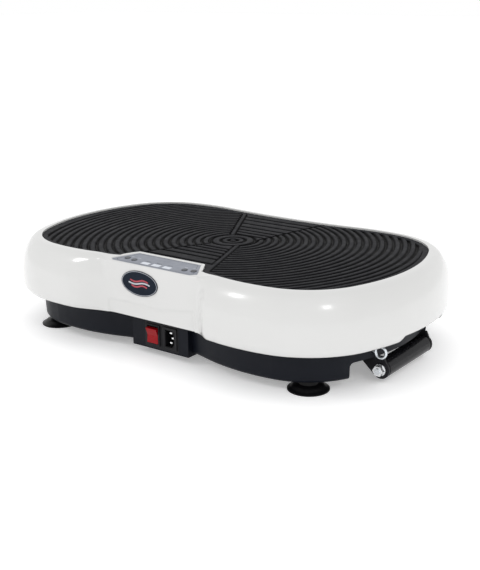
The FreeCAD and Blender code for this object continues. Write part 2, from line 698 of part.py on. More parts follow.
crank_x, crank_z = float(s.crank_x), float(s.crank_height)
BEARING_Y = 46
block_base = s.crank_height - rail_z
bearing_blocks = []
for side, label in ((FRONT, "front_bearing_block"), (BACK, "rear_bearing_block")):
    low_y = side * BEARING_Y - 6
    pedestal = box((crank_x - 18, low_y, rail_z), (36, 12, block_base))
    cap = rod(18, 12, (crank_x, low_y, crank_z), Y_AXIS)
    bore = rod(13, 20, (crank_x, low_y - 4, crank_z), Y_AXIS)
    keep(cut(fuse(pedestal, cap), bore), label)
races = []
for side in (FRONT, BACK):
    low_y = side * BEARING_Y - 5
    ring = rod(13, 10, (crank_x, low_y, crank_z), Y_AXIS)
    hole = rod(s.crank_radius + s.running_gap, 20, (crank_x, low_y - 4, crank_z), Y_AXIS)
    races.append(cut(ring, hole))
keep(group(*races), "crank_bearings")


def belt_loop(extra):
    """A belt's filled shape round both pulleys, with this much added to each radius."""
    big, small = float(s.crank_pulley_radius) + extra, float(s.motor_pulley_radius) + extra
    span_x = float(s.motor_x) - crank_x
    span_z = float(s.motor_height) - crank_z
    span = math.hypot(span_x, span_z)
    lean = math.atan2(span_z, span_x)
    wrap = math.acos((big - small) / span)

    def at(centre, radius, angle):
        return Vector(centre[0] + radius * math.cos(angle), 0, centre[1] + radius * math.sin(angle))

    crank, motor = (crank_x, crank_z), (float(s.motor_x), float(s.motor_height))
    upper_big, lower_big = at(crank, big, lean + wrap), at(crank, big, lean - wrap)
    upper_small, lower_small = at(motor, small, lean + wrap), at(motor, small, lean - wrap)
    edges = [Part.LineSegment(upper_big, upper_small).toShape(),
             Part.Arc(upper_small, at(motor, small, lean), lower_small).toShape(),
             Part.LineSegment(lower_small, lower_big).toShape(),
             Part.Arc(lower_big, at(crank, big, lean + math.pi), upper_big).toShape()]
    face = Part.Face(Part.Wire(edges))
    made = face.extrude(Vector(0, float(s.belt_width), 0))
    made.translate(Vector(0, float(s.belt_y) - float(s.belt_width) / 2, 0))
    return made


keep(solid(belt_loop(float(s.belt_thickness)).cut(belt_loop(0.1))), "drive_belt")


# ---------------------------------------------------------------- crank
def pulley(label, radius, shaft_radius, x, z):
    """A flat belt pulley with two flanges, on the Y axis."""
    wide = s.belt_width + 1
    low_y = float(s.belt_y) - float(s.belt_width) / 2 - 0.5
    drum = rod(radius, wide, (x, low_y, z), Y_AXIS)
    near = rod(radius + 4, 2, (x, low_y - 2, z), Y_AXIS)
    far = rod(radius + 4, 2, (x, low_y + float(wide), z), Y_AXIS)
    bore = rod(shaft_radius, 40, (x, low_y - 10, z), Y_AXIS)
    return keep(cut(fuse(drum, near, far), bore), label)


pulley("crank_pulley", s.crank_pulley_radius, s.crank_radius, crank_x, crank_z)
rod_y = float(s.rod_y)
journal = rod(s.crank_radius, 2 * rod_y - 14, (crank_x, -rod_y + 7, crank_z), Y_AXIS)
discs = [rod(12, 14, (crank_x + float(s.crank_throw), side * rod_y - 7, crank_z), Y_AXIS)
         for side in (FRONT, BACK)]
cheeks = [rod(14, 3, (crank_x, side * (rod_y - 8.5) - 1.5, crank_z), Y_AXIS)
          for side in (FRONT, BACK)]
keep(fuse(journal, *discs, *cheeks), "crankshaft")

# The lifting rods stand on the crank's discs; the upper eye is the opened pivot.
throw_x = crank_x + float(s.crank_throw)
for side, label in ((FRONT, "lift_rod_front"), (BACK, "lift_rod_rear")):
    low_y = side * rod_y - 5
    big_end = rod(15.5, 10, (throw_x, low_y, crank_z), Y_AXIS)
    eye = rod(s.rod_pin_radius + s.open_gap + 2.8, 10, (throw_x, low_y, pin_height), Y_AXIS)
    web = box((throw_x - 6, low_y, crank_z + 10), (12, 10, s.rod_length - 18))
    disc_hole = rod(12 + float(s.running_gap), 30, (throw_x, low_y - 10, crank_z), Y_AXIS)
    pin_hole = rod(s.rod_pin_radius + s.open_gap, 30, (throw_x, low_y - 10, pin_height), Y_AXIS)
    keep(cut(fuse(big_end, eye, web), disc_hole, pin_hole), label)


# ---------------------------------------------------------------- motor rotor
keep(rod(5, 115, (s.motor_x, float(s.belt_y) - 10, s.motor_height), Y_AXIS), "motor_shaft")
pulley("motor_pulley", s.motor_pulley_radius, 5, s.motor_x, s.motor_height)


# ---------------------------------------------------------------- transport roller
roller_x, roller_z = float(s.roller_x), float(s.roller_height)
roller_half = s.roller_half
barrel = s.roller_radius
roller_points = [(s.axle_radius + s.running_gap, 0), (barrel - 1.5, 0), (barrel, 1.5),
                 (barrel, roller_half * 2 - 1.5), (barrel - 1.5, roller_half * 2),
                 (s.axle_radius + s.running_gap, roller_half * 2)]
keep(turned_body("transport_roller", roller_points, (roller_x, -float(roller_half), roller_z), Y_AXIS),
     "transport_roller")

thick = float(s.arm_thickness)
arm_gap = float(roller_half) + 0.8
ARM_END, ARM_SLOPE = 12.5, 42
bracket_x, bracket_top = step_x + 4, step_low - 0.2
tangent_x = roller_x - ARM_END * math.sin(math.radians(ARM_SLOPE))
tangent_z = roller_z - ARM_END * math.cos(math.radians(ARM_SLOPE))
arm_root = tangent_x - (bracket_top - tangent_z) / math.tan(math.radians(ARM_SLOPE))


def roller_arm(low_y):
    """One side plate of the bracket, rounded about the axle."""
    corners = [Vector(arm_root, low_y, bracket_top),
               Vector(tangent_x, low_y, tangent_z),
               Vector(roller_x + ARM_END, low_y, roller_z),
               Vector(roller_x + 4, low_y, bracket_top)]
    plate_shape = Part.Face(Part.makePolygon(corners + corners[:1])).extrude(Vector(0, thick, 0))
    end = Part.makeCylinder(ARM_END, thick, Vector(roller_x, low_y, roller_z), Y_AXIS)
    return plate_shape.fuse(end)


arms = [roller_arm(-arm_gap - thick), roller_arm(arm_gap)]
top_plate = Part.makeBox(28, 2 * arm_gap + 2 * thick, thick,
                         Vector(bracket_x, -arm_gap - thick, bracket_top - thick))
bracket = top_plate.fuse(arms[0]).fuse(arms[1])
bracket = bracket.cut(Part.makeCylinder(float(s.axle_radius), 200,
                                        Vector(roller_x, -100, roller_z), Y_AXIS))
for y in (-30, 30):
    bracket = bracket.cut(Part.makeCylinder(2.5, 40, Vector(bracket_screw_x, y, 10)))
keep(solid(bracket.removeSplitter()), "roller_bracket")

end_y = arm_gap + thick
axle = rod(s.axle_radius, 2 * end_y + 14, (roller_x, -end_y - 10, roller_z), Y_AXIS)
keep(fuse(axle, nut(13, 5, (roller_x, end_y + 1.6, roller_z), Y_AXIS)), "roller_axle_bolt")
axle_nut = cut(nut(13, 6.5, (roller_x, -end_y - 8.1, roller_z), Y_AXIS),
               rod(s.axle_radius, 20, (roller_x, -end_y - 12, roller_z), Y_AXIS))
keep(axle_nut, "axle_nut")
washers = [cut(rod(8, 1.6, (roller_x, y, roller_z), Y_AXIS),
               rod(s.axle_radius, 6, (roller_x, y - 2, roller_z), Y_AXIS))
           for y in (-end_y - 1.6, end_y)]
keep(group(*washers), "axle_washers")
bracket_screws = []
for side in (FRONT, BACK):
    at = (bracket_screw_x, side * 30)
    under = step_low - 0.2 - thick
    bracket_screws.append(fuse(rod(2.5, 12, (*at, under)), rod(5, 2.4, (*at, under - 2.4))))
keep(group(*bracket_screws), "bracket_screws")


# ---------------------------------------------------------------- eye bolts
# One at the roller's end and its mirror image at the other end, both in front of the middle.
for side, label in ((1, "eye_bolt_right"), (-1, "eye_bolt_left")):
    y = -float(s.eye_y)
    ring = doc.addObject("Part::Torus", "Torus")
    bind(ring, Radius1=s.eye_radius, Radius2=s.eye_wire)
    ring_x = eye_x + EYE_STAND_OFF + float(s.eye_radius) + float(s.eye_wire)
    ring.Placement = Placement(Vector(side * ring_x, y, float(s.eye_height)), aim(Y_AXIS))
    shank_end = ring_x - float(s.eye_radius) + 0.6
    shank = rod(2.4, shank_end - 270, (min(270 * side, shank_end * side), y, s.eye_height), X_AXIS)
    inner_nut = nut(8, 4, (275 if side > 0 else -279, y, s.eye_height), X_AXIS)
    keep(fuse(ring, shank, inner_nut), label)


# ---------------------------------------------------------------- check and write
doc.recompute()
for thing in doc.Objects:
    bad = [state for state in thing.State if state in ("Invalid", "Error")]
    if bad:
        raise RuntimeError(f"{thing.Label} ({thing.Name}): {bad}")
for thing in subparts:
    shape = thing.Shape
    if shape.isNull() or not shape.isValid() or shape.Volume <= 0 or not shape.Solids:
        raise RuntimeError(f"{thing.Label} has a bad shape")
    shape.exportStep(f"parts/{thing.Label}.step")
    extent = shape.BoundBox
    print(f"{thing.Label:26s} solids {len(shape.Solids):2d}  volume {shape.Volume / 1000:9.2f} cm3  "
          f"x {extent.XMin:7.1f} {extent.XMax:7.1f}  y {extent.YMin:7.1f} {extent.YMax:7.1f}  "
          f"z {extent.ZMin:6.1f} {extent.ZMax:6.1f}")
print(len(subparts), "sub-parts")
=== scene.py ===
"""Looks of the vibration plate: materials, ribbed mat, moulded shell, light and camera.

Metres, in the CAD frame: X along the length, -Y the front, +Z up.
"""
import json
import math
import bpy
import numpy as np
from mathutils import Matrix, Vector


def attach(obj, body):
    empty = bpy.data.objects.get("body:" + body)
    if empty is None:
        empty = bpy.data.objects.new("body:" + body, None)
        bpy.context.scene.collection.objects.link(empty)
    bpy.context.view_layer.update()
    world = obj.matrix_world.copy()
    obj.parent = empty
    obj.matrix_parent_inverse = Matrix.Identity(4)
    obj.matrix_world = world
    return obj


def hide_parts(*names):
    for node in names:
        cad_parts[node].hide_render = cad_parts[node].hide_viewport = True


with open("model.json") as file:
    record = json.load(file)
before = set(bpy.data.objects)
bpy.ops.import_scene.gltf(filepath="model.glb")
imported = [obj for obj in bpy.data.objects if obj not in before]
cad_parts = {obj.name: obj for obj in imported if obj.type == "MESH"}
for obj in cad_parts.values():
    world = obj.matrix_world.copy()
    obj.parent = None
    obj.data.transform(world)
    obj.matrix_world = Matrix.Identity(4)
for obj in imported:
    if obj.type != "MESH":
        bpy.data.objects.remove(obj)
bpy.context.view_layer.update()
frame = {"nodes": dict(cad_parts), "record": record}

nodes = frame["nodes"]
MM = 0.001


# ------------------------------------------------------------------ materials
class Nodes:
    """A material's node tree with short names for the nodes used here."""

    def __init__(self, name):
        self.material = bpy.data.materials.new(name)
        self.material.use_nodes = True
        self.tree = self.material.node_tree
        self.tree.nodes.clear()
        self.shader = self.add("ShaderNodeBsdfPrincipled")
        output = self.add("ShaderNodeOutputMaterial")
        self.link(self.shader.outputs[0], output.inputs[0])
        self.place = self.add("ShaderNodeTexCoord").outputs["Object"]

    def add(self, kind, **values):
        node = self.tree.nodes.new(kind)
        for key, value in values.items():
            setattr(node, key, value)
        return node

    def link(self, source, target):
        self.tree.links.new(source, target)

    def noise(self, scale, detail=3, rough=0.5, stretch=(1, 1, 1), seed=0.0):
        """Noise between 0 and 1 at a scale in cells per metre."""
        place = self.add("ShaderNodeMapping")
        place.inputs["Location"].default_value = (seed, seed * 0.7, seed * 1.3)
        place.inputs["Scale"].default_value = stretch
        self.link(self.place, place.inputs[0])
        noise = self.add("ShaderNodeTexNoise")
        noise.inputs["Scale"].default_value = scale
        noise.inputs["Detail"].default_value = detail
        noise.inputs["Roughness"].default_value = rough
        self.link(place.outputs[0], noise.inputs["Vector"])
        return noise.outputs["Fac"]

    def ramp(self, value, low, high, start=0.3, end=0.7):
        """Maps value from start..end to low..high, numbers or colours."""
        if isinstance(low, (int, float)):
            node = self.add("ShaderNodeMapRange")
            node.inputs["From Min"].default_value = start
            node.inputs["From Max"].default_value = end
            node.inputs["To Min"].default_value = low
            node.inputs["To Max"].default_value = high
            self.link(value, node.inputs["Value"])
            return node.outputs[0]
        node = self.add("ShaderNodeValToRGB")
        node.color_ramp.elements[0].position = start
        node.color_ramp.elements[0].color = (*low, 1)
        node.color_ramp.elements[1].position = end
        node.color_ramp.elements[1].color = (*high, 1)
        self.link(value, node.inputs[0])
        return node.outputs[0]

    def blend(self, factor, first, second):
        node = self.add("ShaderNodeMix", data_type="RGBA")
        for socket, value in ((node.inputs[0], factor), (node.inputs[6], first),
                              (node.inputs[7], second)):
            if isinstance(value, (int, float)):
                socket.default_value = value
            elif isinstance(value, tuple):
                socket.default_value = (*value, 1)
            else:
                self.link(value, socket)
        return node.outputs[2]

    def math(self, operation, first, second=0.0, clamp=False):
        node = self.add("ShaderNodeMath", operation=operation, use_clamp=clamp)
        for socket, value in ((node.inputs[0], first), (node.inputs[1], second)):
            if isinstance(value, (int, float)):
                socket.default_value = value
            else:
                self.link(value, socket)
        return node.outputs[0]

    def worn_edges(self, low=0.52, high=0.62):
        """1 on convex edges of the mesh and 0 elsewhere."""
        point = self.add("ShaderNodeNewGeometry").outputs["Pointiness"]
        return self.ramp(point, 0.0, 1.0, low, high)

    def bump(self, *layers):
        """layers are (height, strength, distance in metres), stacked."""
        normal = None
        for height, strength, distance in layers:
            node = self.add("ShaderNodeBump")
            node.inputs["Strength"].default_value = strength
            node.inputs["Distance"].default_value = distance
            self.link(height, node.inputs["Height"])
            if normal is not None:
                self.link(normal, node.inputs["Normal"])
            normal = node.outputs[0]
        self.link(normal, self.shader.inputs["Normal"])

    def set(self, **values):
        for key, value in values.items():
            socket = self.shader.inputs[key.replace("_", " ")]
            if isinstance(value, (int, float)):
                socket.default_value = value
            elif isinstance(value, tuple):
                socket.default_value = (*value, 1) if len(value) == 3 else value
            else:
                self.link(value, socket)
        return self


def plastic(name, low, high, rough, grain, depth, patch=9.0, edge=None, **extra):
    """Moulded plastic: patchy colour, uneven gloss, a fine grain and rubbed edges."""
    n = Nodes(name)
    colour = n.ramp(n.noise(patch, 4), low, high)
    if edge is not None:
        colour = n.blend(n.worn_edges(), colour, edge)
    n.set(Base_Color=colour, Roughness=n.ramp(n.noise(patch * 6, 5, seed=3.1), *rough))
    n.bump((n.noise(grain, 2, seed=7.3), 0.35, depth), (n.noise(45, 2, seed=1.7), 0.12, 0.0002))
    n.set(**extra)
    return n.material


def metal(name, low, high, rough, stretch=(1, 1, 1), grain=900, edge=None, **extra):
    """Metal with a directional grain, stains and brighter edges."""
    n = Nodes(name)
    colour = n.ramp(n.noise(38, 5, 0.6), low, high)
    if edge is not None:
        colour = n.blend(n.worn_edges(), colour, edge)
    scratch = n.noise(grain, 3, stretch=stretch, seed=5.0)
    n.set(Base_Color=colour, Metallic=1.0, Roughness=n.ramp(scratch, *rough))
    n.bump((scratch, 0.2, 0.00005))
    n.set(**extra)
    return n.material


def shell_plastic():
    """Glossy off-white shell plastic with faint clouds, specks and a slightly wavy surface."""
    n = Nodes("shell_white")
    cloud = n.noise(5.0, 3)
    speck = n.ramp(n.noise(900, 2, seed=2.0), 0.0, 1.0, 0.62, 0.75)
    colour = n.ramp(cloud, (0.60, 0.60, 0.592), (0.64, 0.64, 0.632))
    colour = n.blend(n.math("MULTIPLY", speck, 0.06), colour, (0.54, 0.54, 0.535))
    n.set(Base_Color=colour, Roughness=n.ramp(n.noise(14, 4, seed=4.0), 0.14, 0.22))
    n.bump((n.noise(60, 1, seed=9.0), 0.05, 0.0003), (n.noise(1400, 1, seed=8.0), 0.04, 0.00003))
    n.set(IOR=1.5, Coat_Weight=0.35, Coat_Roughness=0.06)
    return n.material


def rubber(name, low, high, rough=(0.5, 0.68), dust=(0.10, 0.10, 0.105), grain=2600):
    """Matt rubber with a thin, patchy film of dust."""
    n = Nodes(name)
    colour = n.ramp(n.noise(24, 5, 0.6), low, high)
    film = n.math("MULTIPLY", n.ramp(n.noise(160, 4, seed=6.0), 0.0, 1.0, 0.5, 0.8), 0.35)
    colour = n.blend(film, colour, dust)
    n.set(Base_Color=colour, Roughness=n.ramp(n.noise(70, 4, seed=2.4), *rough))
    n.bump((n.noise(grain, 2, seed=3.3), 0.35, 0.00008), (n.noise(300, 3, seed=5.1), 0.15, 0.0001))
    n.set(Specular_IOR_Level=0.16)
    return n.material


def mat_rubber():
    """Ribbed rubber with painted shade: darker down in the grooves, slightly dusty on the ridges."""
    groove_height, ridge_height = 0.1338, 0.1349
    n = Nodes("mat_rubber")
    place = n.add("ShaderNodeSeparateXYZ")
    n.link(n.place, place.inputs[0])
    # Painted shade: the base colour darkens to near black with depth below the ridge tops.
    share = n.ramp(place.outputs["Z"], 0.0, 1.0, groove_height, ridge_height)
    top = n.ramp(n.noise(24, 5, 0.6), (0.013, 0.0132, 0.0155), (0.0175, 0.0178, 0.0205))
    film = n.math("MULTIPLY", n.ramp(n.noise(160, 4, seed=6.0), 0.0, 1.0, 0.5, 0.8), 0.3)
    top = n.blend(film, top, (0.032, 0.032, 0.034))
    n.set(Base_Color=n.blend(share, (0.001, 0.001, 0.0012), top),
          Roughness=n.ramp(n.noise(70, 4, seed=2.4), 0.5, 0.64), Specular_IOR_Level=0.05)
    n.bump((n.noise(2600, 2, seed=3.3), 0.35, 0.00008), (n.noise(300, 3, seed=5.1), 0.15, 0.0001))
    return n.material


def wood(name):
    """Bare board with its grain along X."""
    n = Nodes(name)
    grain = n.noise(9, 6, 0.65, stretch=(1, 14, 14))
    fine = n.noise(40, 5, 0.6, stretch=(1, 22, 22), seed=3.0)
    colour = n.ramp(grain, (0.50, 0.36, 0.21), (0.70, 0.55, 0.37))
    colour = n.blend(n.math("MULTIPLY", fine, 0.3), colour, (0.40, 0.27, 0.15))
    n.set(Base_Color=colour, Roughness=n.ramp(fine, 0.55, 0.75))
    n.bump((fine, 0.3, 0.0002))
    return n.material


def board(name):
    """Green circuit board with fine traces."""
    n = Nodes(name)
    traces = n.noise(220, 1, stretch=(1, 0.2, 1))
    colour = n.ramp(traces, (0.02, 0.16, 0.07), (0.05, 0.26, 0.12), 0.48, 0.52)
    n.set(Base_Color=colour, Roughness=n.ramp(n.noise(60, 3), 0.3, 0.45))
    n.bump((traces, 0.2, 0.0001))
    return n.material


look = {
    "shell_white": shell_plastic(),
    "mat_rubber": mat_rubber(),
    "deck_wood": wood("deck_wood"),
    "frame_black": plastic("frame_black", (0.006, 0.006, 0.007), (0.011, 0.011, 0.012),
                           (0.32, 0.48), 1500, 0.0001, edge=(0.012, 0.012, 0.014),
                           Specular_IOR_Level=0.12),
    "zinc": metal("zinc", (0.62, 0.66, 0.70), (0.74, 0.77, 0.80), (0.18, 0.34),
                  edge=(0.88, 0.89, 0.9)),
    "bronze": metal("bronze", (0.55, 0.38, 0.18), (0.66, 0.48, 0.26), (0.35, 0.5)),
    "panel_silver": plastic("panel_silver", (0.17, 0.185, 0.225), (0.22, 0.235, 0.28),
                            (0.34, 0.46), 2200, 0.00005, patch=30),
    "print_pale": plastic("print_pale", (0.42, 0.44, 0.48), (0.50, 0.52, 0.56),
                          (0.3, 0.4), 1500, 0.00002, patch=80),
    "print_red": plastic("print_red", (0.34, 0.03, 0.05), (0.42, 0.04, 0.06),
                         (0.3, 0.4), 1500, 0.00002, patch=80),
    "window_clear": plastic("window_clear", (0.55, 0.59, 0.66), (0.66, 0.69, 0.75),
                            (0.08, 0.14), 900, 0.00002, patch=60),
    "button_dark": plastic("button_dark", (0.05, 0.055, 0.065), (0.075, 0.08, 0.09),
                           (0.4, 0.55), 2000, 0.00005, patch=50),
    "badge_navy": plastic("badge_navy", (0.003, 0.007, 0.015), (0.005, 0.011, 0.022),
                          (0.16, 0.24), 1200, 0.00002, patch=40, Specular_IOR_Level=0.1,
                          Coat_Weight=0.02, Coat_Roughness=0.08),
    "board_green": board("board_green"),
    "tray_black": plastic("tray_black", (0.004, 0.005, 0.0085), (0.0065, 0.008, 0.0125),
                          (0.36, 0.48), 1700, 0.00012, edge=(0.010, 0.011, 0.015),
                          Specular_IOR_Level=0.12),
    "black_plastic": plastic("black_plastic", (0.004, 0.004, 0.005), (0.008, 0.008, 0.009),
                             (0.28, 0.42), 1500, 0.00008, patch=30, edge=(0.02, 0.02, 0.022),
                             Specular_IOR_Level=0.12),
    "switch_red": plastic("switch_red", (0.15, 0.0005, 0.002), (0.26, 0.001, 0.004),
                          (0.16, 0.28), 900, 0.00003, patch=90, edge=(0.26, 0.002, 0.005),
                          Specular_IOR_Level=0.14, Coat_Weight=0.05, Coat_Roughness=0.1),
    "foot_rubber": rubber("foot_rubber", (0.002, 0.002, 0.0025), (0.004, 0.004, 0.0045),
                          (0.30, 0.42), (0.008, 0.008, 0.009)),
    "buffer_rubber": rubber("buffer_rubber", (0.02, 0.02, 0.021), (0.03, 0.03, 0.032)),
    "belt_rubber": rubber("belt_rubber", (0.02, 0.02, 0.02), (0.035, 0.034, 0.033)),
    "motor_steel": metal("motor_steel", (0.30, 0.31, 0.32), (0.42, 0.43, 0.45), (0.3, 0.5),
                         stretch=(1, 0.05, 1), edge=(0.6, 0.6, 0.62)),
    "bearing_iron": metal("bearing_iron", (0.10, 0.10, 0.105), (0.17, 0.17, 0.18), (0.5, 0.7)),
    "bearing_steel": metal("bearing_steel", (0.5, 0.5, 0.52), (0.62, 0.62, 0.64), (0.2, 0.3)),
    "pulley_alloy": metal("pulley_alloy", (0.6, 0.6, 0.61), (0.72, 0.72, 0.73), (0.3, 0.42),
                          stretch=(1, 12, 1), edge=(0.82, 0.82, 0.83)),
    "crank_steel": metal("crank_steel", (0.36, 0.37, 0.38), (0.50, 0.51, 0.53), (0.25, 0.4),
                         stretch=(1, 12, 1), edge=(0.66, 0.66, 0.68)),
    "roller_black": plastic("roller_black", (0.006, 0.006, 0.0075), (0.010, 0.010, 0.0115),
                            (0.18, 0.28), 1300, 0.00004, patch=25, Specular_IOR_Level=0.14),
}


# ------------------------------------------------------------------ CAD nodes
for row in frame["record"]["subparts"]:
    piece = nodes[row["node"]]
    piece.data.materials.clear()
    piece.data.materials.append(look[row["material_slot"]])


# ------------------------------------------------------------------ mesh helpers
def mesh_piece(name, points, faces, body, materials, smooth=True):
    """A mesh from points in millimetres that rides on a body and takes a slot's finish."""
    mesh = bpy.data.meshes.new(name)
    points = np.asarray(points, float) * MM
    if isinstance(faces, np.ndarray):
        count, corners = faces.shape
        mesh.vertices.add(len(points))
        mesh.vertices.foreach_set("co", points.ravel())
        mesh.loops.add(count * corners)
        mesh.loops.foreach_set("vertex_index", faces.ravel().astype(np.int32))
        mesh.polygons.add(count)
        mesh.polygons.foreach_set("loop_start", np.arange(0, count * corners, corners))
        mesh.update(calc_edges=True)
    else:
        mesh.from_pydata([tuple(v) for v in points], [], faces)
    mesh.validate()
    mesh.polygons.foreach_set("use_smooth", [smooth] * len(mesh.polygons))
    made = bpy.data.objects.new(name, mesh)
    bpy.context.scene.collection.objects.link(made)
    for material in materials:
        mesh.materials.append(material)
    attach(made, body)
    return made


def grid_faces(rows, columns, closed):
    """Quads of a rows x columns grid of points; closed joins the last column to the first."""
    across = np.arange(columns if closed else columns - 1)
    down = np.arange(rows - 1)
    first, second = np.meshgrid(down, across, indexing="ij")
    beside = (second + 1) % columns
    return np.stack([first * columns + second, first * columns + beside,
                     (first + 1) * columns + beside, (first + 1) * columns + second],
                    -1).reshape(-1, 4)


def smoothstep(low, high, value):
    share = np.clip((value - low) / (high - low), 0, 1)
    return share * share * (3 - 2 * share)


# ------------------------------------------------------------------ plan outline, millimetres
HALF_LENGTH, END_RADIUS, END_TURN = 292, 260, 23.2
CORNER_RADIUS, CORNER_TURN, LOBE_RADIUS = 103, 58.3, 260
FRONT_WAIST, BACK_WAIST = 250, 1000
RIM_TOP, MAT_TOP, MAT_LOW = 137.0, 135.0, 131.0


def outline_arcs():
    """Arcs (centre x, centre y, radius, start, end) counter-clockwise from the right end."""
    end_x = HALF_LENGTH - END_RADIUS
    turn, total = math.radians(END_TURN), END_TURN + CORNER_TURN
    shift = END_RADIUS - CORNER_RADIUS
    corner = (end_x + shift * math.cos(turn), shift * math.sin(turn))
    step = CORNER_RADIUS - LOBE_RADIUS
    lobe = (corner[0] + step * math.cos(math.radians(total)),
            corner[1] + step * math.sin(math.radians(total)))

    def waist(radius):
        height = lobe[1] + math.sqrt((LOBE_RADIUS + radius) ** 2 - lobe[0] ** 2)
        return height, math.degrees(math.atan2(height - lobe[1], -lobe[0]))

    arcs = [(end_x, 0, END_RADIUS, -END_TURN, END_TURN)]
    height, swing = waist(BACK_WAIST)
    arcs += [(corner[0], corner[1], CORNER_RADIUS, END_TURN, total),
             (lobe[0], lobe[1], LOBE_RADIUS, total, swing),
             (0, height, -BACK_WAIST, swing - 180, -swing),
             (-lobe[0], lobe[1], LOBE_RADIUS, 180 - swing, 180 - total),
             (-corner[0], corner[1], CORNER_RADIUS, 180 - total, 180 - END_TURN),
             (-end_x, 0, END_RADIUS, 180 - END_TURN, 180 + END_TURN)]
    height, swing = waist(FRONT_WAIST)
    arcs += [(-corner[0], -corner[1], CORNER_RADIUS, 180 + END_TURN, 180 + total),
             (-lobe[0], -lobe[1], LOBE_RADIUS, 180 + total, 180 + swing),
             (0, -height, -FRONT_WAIST, swing, 180 - swing),
             (lobe[0], -lobe[1], LOBE_RADIUS, -swing, -total),
             (corner[0], -corner[1], CORNER_RADIUS, -total, -END_TURN)]
    return arcs


ARCS = outline_arcs()


def walk_outline(step, fine_step, fine_half):
    """Points and outward normals round the outline, closer together at the front middle."""
    points, normals = [], []
    for x, y, radius, start, end in ARCS:
        size = abs(radius)
        angle, sign = math.radians(start), math.copysign(1, end - start)
        while sign * (math.radians(end) - angle) > 1e-9:
            at = (x + size * math.cos(angle), y + size * math.sin(angle))
            outward = math.copysign(1, radius)
            points.append(at)
            normals.append((outward * math.cos(angle), outward * math.sin(angle)))
            near = at[1] < 0 and abs(at[0]) < fine_half
            angle += sign * (fine_step if near else step) / size
            left = sign * (math.radians(end) - angle) * size
            if 0 < left < 0.4 * fine_step:
                break
    return np.array(points), np.array(normals)


def outline_depth(x, y):
    """How far inside the outline a point lies (negative outside)."""
    best = np.full(x.shape, 1e9)
    for centre_x, centre_y, radius, start, end in ARCS:
        angle = np.degrees(np.arctan2(y - centre_y, x - centre_x))
        middle, half = (start + end) / 2, abs(end - start) / 2
        apart = np.abs((angle - middle + 180) % 360 - 180)
        distance = np.hypot(x - centre_x, y - centre_y)
        depth = radius - distance if radius > 0 else distance + radius
        valid = (apart <= half + 0.01) & (np.abs(depth) < np.abs(best)) & (distance > 1)
        best = np.where(valid, depth, best)
    return best


# The console block's plan, and how far outside it a point lies.
BLOCK_BACK, BLOCK_BACK_HALF = -128, 58
BLOCK_KNEE, BLOCK_FRONT, BLOCK_HALF = -164, -176, 80
BLOCK = [(BLOCK_BACK_HALF, BLOCK_BACK), (-BLOCK_BACK_HALF, BLOCK_BACK),
         (-BLOCK_HALF, BLOCK_KNEE), (-BLOCK_HALF, BLOCK_FRONT),
         (BLOCK_HALF, BLOCK_FRONT), (BLOCK_HALF, BLOCK_KNEE)]


def outside_polygon(x, y, corners):
    """Signed distance outside a convex polygon given counter-clockwise."""
    best = np.full(np.shape(x), -1e9)
    for (x0, y0), (x1, y1) in zip(corners, corners[1:] + corners[:1]):
        length = math.hypot(x1 - x0, y1 - y0)
        out = ((x - x0) * (y1 - y0) - (y - y0) * (x1 - x0)) / length
        best = np.maximum(best, out)
    return best


# ------------------------------------------------------------------ ribbed mat
# Rings of grooves fill the left and the right, straight grooves the two wedges between them.
# A rib stands on one side of each wedge, and a groove closes its other side.
MAT_GAP = 0.6
RING_CENTRE = (5.5, 3.8)
GROOVE_DEPTH, GROOVE_HALF, GROOVE_WALL = 2.6, 1.3, 1.7
MAT_RIM = 8.0
RINGS = (6.8, 18.0, 32.0)
LEFT_FIRST, LEFT_PITCH = 45.9, 11.7
RIGHT_FIRST, RIGHT_PITCH = 46.8, 10.95
BACK_GROOVES = (38, 50.5, 64, 80.3, 99.2, 120, 137)
FRONT_GROOVES = (-42, -53, -65.5, -79.5, -95, -116.5)
BACK_RIB = ((-13.5, 26), (-84.6, 157))
FRONT_RIB = ((34.6, -33.5), (78.8, -154.6))
BACK_JOIN = ((38.5, 37.7), (59.6, 141.5))
FRONT_JOIN = ((-15.4, -35.4), (-61.5, -123.8))
RIB_HALF = 2.4


def beside(x, y, line):
    """Signed distance from a line, positive on the left going from its start to its end."""
    (x0, y0), (x1, y1) = line
    length = math.hypot(x1 - x0, y1 - y0)
    return ((x1 - x0) * (y - y0) - (y1 - y0) * (x - x0)) / length


def mat_depth(x, y):
    """How far a point lies inside the mat's edge."""
    return np.minimum(outline_depth(x, y), outside_polygon(x, y, BLOCK) - MAT_GAP)


